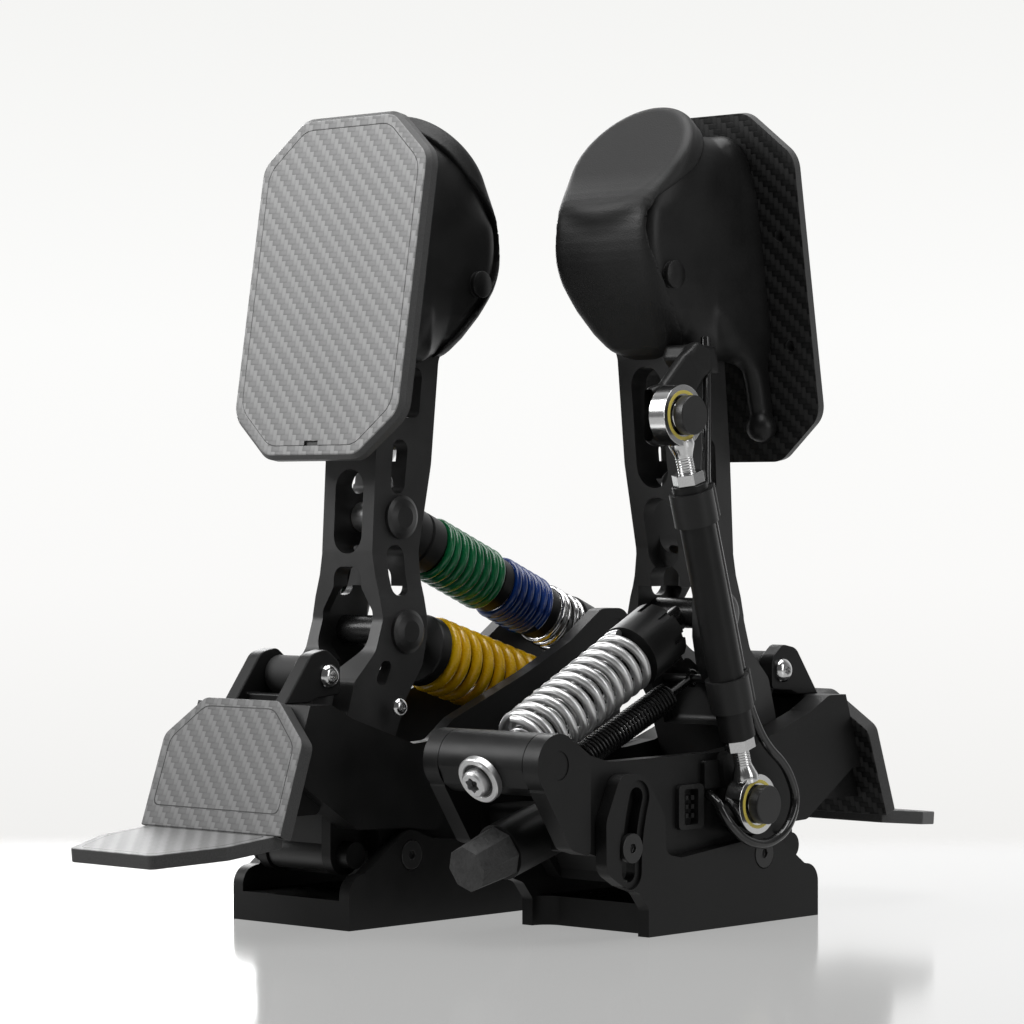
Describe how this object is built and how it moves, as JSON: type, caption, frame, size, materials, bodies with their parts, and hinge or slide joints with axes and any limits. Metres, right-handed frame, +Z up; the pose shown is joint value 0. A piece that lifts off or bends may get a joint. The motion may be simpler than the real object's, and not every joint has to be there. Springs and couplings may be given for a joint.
{
  "type": "sim racing pedal set",
  "caption": "Brake and throttle pedal for a racing simulator, each tilting in its own base, with a spring-loaded arm, tie rod, padded pod and heel rest.",
  "frame": {"origin": "Middle of the pair's footprint, at the foot of the two bases.", "axes": "+Z up; X across the pedals, the brake on the -X side; the brake's pad faces -Y and the throttle's pad faces +Y."},
  "size_m": [0.1782, 0.3274, 0.2964],
  "materials": {
    "black_anodised": "matte",
    "black_bolts": "satin",
    "black_plastic": "textured",
    "black_rubber": "matte",
    "dark_edge_plate": "satin",
    "grey_twill": "satin twill",
    "zinc_steel": "satin",
    "dark_steel": "satin",
    "cable_black": "satin",
    "green_lacquer": "gloss",
    "blue_lacquer": "gloss",
    "yellow_lacquer": "gloss",
    "bright_chrome": "polished",
    "black_spring_steel": "oiled"
  },
  "bodies": {
    "cockpit_bases": {"brake_base": "black_anodised", "throttle_base": "black_anodised"},
    "brake_housing_body": {"brake_housing": "black_anodised", "brake_tilt_bolts": "black_bolts", "brake_socket": "black_plastic", "brake_stop_bracket": "black_anodised", "brake_stop_roller": "black_rubber", "brake_heel_plate": "dark_edge_plate", "brake_arm_shaft": "black_anodised", "brake_lower_ball_bolt": "black_bolts"},
    "brake_arm_body": {"brake_arm": "black_anodised", "brake_cross_pins": "black_bolts", "brake_pod_pin": "black_bolts"},
    "brake_pod_body": {"brake_pod_shell": "black_plastic", "brake_pod_cap": "black_plastic", "brake_pad_plate": "dark_edge_plate", "brake_pad_inlay": "grey_twill", "brake_upper_ball_bolt": "black_bolts"},
    "brake_rod_body": {"brake_tie_rod": "black_anodised", "brake_rod_ends": "zinc_steel", "brake_cable_clips": "black_plastic", "brake_cable": "cable_black"},
    "brake_trunnion_body": {"brake_trunnion": "black_anodised", "brake_spring": "yellow_lacquer"},
    "brake_plunger_body": {"brake_plunger": "dark_steel", "brake_collar": "black_anodised"},
    "throttle_housing_body": {"throttle_housing": "black_anodised", "throttle_tilt_bolts": "black_bolts", "throttle_socket": "black_plastic", "throttle_stop_bracket": "black_anodised", "throttle_stop_roller": "black_rubber", "throttle_heel_plate": "dark_edge_plate", "throttle_arm_shaft": "black_anodised", "throttle_lower_ball_bolt": "black_bolts", "throttle_return_spring": "black_spring_steel", "throttle_stop_knob": "black_rubber"},
    "throttle_arm_body": {"throttle_arm": "black_anodised", "throttle_cross_pins": "black_bolts", "throttle_pod_pin": "black_bolts"},
    "throttle_pod_body": {"throttle_pod_shell": "black_plastic", "throttle_pod_cap": "black_plastic", "throttle_pad_plate": "dark_edge_plate", "throttle_pad_inlay": "grey_twill", "throttle_upper_ball_bolt": "black_bolts"},
    "throttle_rod_body": {"throttle_tie_rod": "black_anodised", "throttle_rod_ends": "zinc_steel", "throttle_cable_clips": "black_plastic", "throttle_cable": "cable_black"},
    "throttle_trunnion_body": {"throttle_trunnion": "black_anodised", "throttle_spring": "zinc_steel"},
    "throttle_plunger_body": {"throttle_plunger": "dark_steel", "throttle_collar": "black_anodised"},
    "brake_upper_trunnion_body": {"brake_upper_trunnion": "black_anodised", "brake_chrome_spring": "bright_chrome"},
    "brake_upper_plunger_body": {"brake_upper_plunger": "dark_steel", "brake_upper_collars": "black_anodised"},
    "brake_front_spacer_body": {"brake_front_spacer": "black_anodised", "brake_green_spring": "green_lacquer"},
    "brake_rear_spacer_body": {"brake_rear_spacer": "black_anodised", "brake_blue_spring": "blue_lacquer"}
  },
  "joints": [
    {"name": "brake_tilt", "type": "hinge", "parent": "cockpit_bases", "child": "brake_housing_body", "pos_m": [-0.04535, -0.0454, 0.025], "axis": [1, 0, 0], "range_deg": [-2, 13]},
    {"name": "brake_press", "type": "hinge", "parent": "brake_housing_body", "child": "brake_arm_body", "pos_m": [-0.04535, -0.0684, 0.026], "axis": [-1, 0, 0], "range_deg": [0, 7], "stiffness_Nm_per_rad": 120, "springref_deg": -2.86},
    {"name": "brake_pod_turn", "type": "hinge", "parent": "brake_arm_body", "child": "brake_pod_body", "pos_m": [-0.04535, -0.0019, 0.234], "axis": [-1, 0, 0], "range_deg": [-6.76, 0.1]},
    {"name": "brake_rod_swing", "type": "hinge", "parent": "brake_housing_body", "child": "brake_rod_body", "pos_m": [-0.07985, -0.0319, 0.0442], "axis": [-1, 0, 0], "range_deg": [-0.1, 10.6], "deforming": ["brake_cable"]},
    {"name": "brake_trunnion_turn", "type": "hinge", "parent": "brake_housing_body", "child": "brake_trunnion_body", "pos_m": [-0.04535, 0.0676, 0.074], "axis": [-1, 0, 0], "range_deg": [-0.97, 0.1]},
    {"name": "brake_plunger_slide", "type": "slide", "parent": "brake_trunnion_body", "child": "brake_plunger_body", "axis": [0, 0.9567, -0.2912], "range_m": [-0.0001, 0.01063], "deforming": ["brake_spring"]},
    {"name": "throttle_tilt", "type": "hinge", "parent": "cockpit_bases", "child": "throttle_housing_body", "pos_m": [0.04535, 0.0454, 0.025], "axis": [-1, 0, 0], "range_deg": [-2, 13]},
    {"name": "throttle_press", "type": "hinge", "parent": "throttle_housing_body", "child": "throttle_arm_body", "pos_m": [0.04535, 0.0684, 0.026], "axis": [1, 0, 0], "range_deg": [0, 12], "stiffness_Nm_per_rad": 25, "springref_deg": -6.88, "deforming": ["throttle_return_spring"]},
    {"name": "throttle_pod_turn", "type": "hinge", "parent": "throttle_arm_body", "child": "throttle_pod_body", "pos_m": [0.04535, 0.0019, 0.234], "axis": [1, 0, 0], "range_deg": [-10.22, 0.1]},
    {"name": "throttle_rod_swing", "type": "hinge", "parent": "throttle_housing_body", "child": "throttle_rod_body", "pos_m": [0.07985, 0.0319, 0.0442], "axis": [1, 0, 0], "range_deg": [-0.1, 17.69], "deforming": ["throttle_cable"]},
    {"name": "throttle_trunnion_turn", "type": "hinge", "parent": "throttle_housing_body", "child": "throttle_trunnion_body", "pos_m": [0.04535, -0.0636, 0.0624], "axis": [1, 0, 0], "range_deg": [-0.1, 0.28]},
    {"name": "throttle_plunger_slide", "type": "slide", "parent": "throttle_trunnion_body", "child": "throttle_plunger_body", "axis": [0, -0.8942, -0.4476], "range_m": [-0.0001, 0.01946], "deforming": ["throttle_spring"]},
    {"name": "brake_upper_trunnion_turn", "type": "hinge", "parent": "brake_housing_body", "child": "brake_upper_trunnion_body", "pos_m": [-0.04535, 0.0746, 0.103], "axis": [-1, 0, 0], "range_deg": [-0.1, 0.6]},
    {"name": "brake_upper_slide", "type": "slide", "parent": "brake_upper_trunnion_body", "child": "brake_upper_plunger_body", "axis": [0, 0.9255, -0.3787], "range_m": [-0.0001, 0.01555], "deforming": ["brake_chrome_spring"]},
    {"name": "brake_front_spacer_slide", "type": "slide", "parent": "brake_upper_trunnion_body", "child": "brake_front_spacer_body", "axis": [0, 0.9255, -0.3787], "range_m": [-0.0001, 0.01171], "deforming": ["brake_green_spring"]},
    {"name": "brake_rear_spacer_slide", "type": "slide", "parent": "brake_upper_trunnion_body", "child": "brake_rear_spacer_body", "axis": [0, 0.9255, -0.3787], "range_m": [-0.0001, 0.00787], "deforming": ["brake_blue_spring"]}
  ],
  "couplings": [
    {"joint": "brake_pod_turn", "follows": "brake_press", "ratio": -0.9375},
    {"joint": "brake_rod_swing", "follows": "brake_press", "ratio": 1.485},
    {"joint": "brake_trunnion_turn", "follows": "brake_press", "ratio": -0.125},
    {"joint": "brake_plunger_slide", "follows": "brake_press", "m_per_rad": 0.085349},
    {"joint": "throttle_pod_turn", "follows": "throttle_press", "ratio": -0.835},
    {"joint": "throttle_rod_swing", "follows": "throttle_press", "ratio": 1.4575},
    {"joint": "throttle_trunnion_turn", "follows": "throttle_press", "ratio": 0.015},
    {"joint": "throttle_plunger_slide", "follows": "throttle_press", "m_per_rad": 0.091955},
    {"joint": "brake_upper_trunnion_turn", "follows": "brake_press", "ratio": 0.07},
    {"joint": "brake_upper_slide", "follows": "brake_press", "m_per_rad": 0.12563},
    {"joint": "brake_front_spacer_slide", "follows": "brake_press", "m_per_rad": 0.094222},
    {"joint": "brake_rear_spacer_slide", "follows": "brake_press", "m_per_rad": 0.062814}
  ]
}
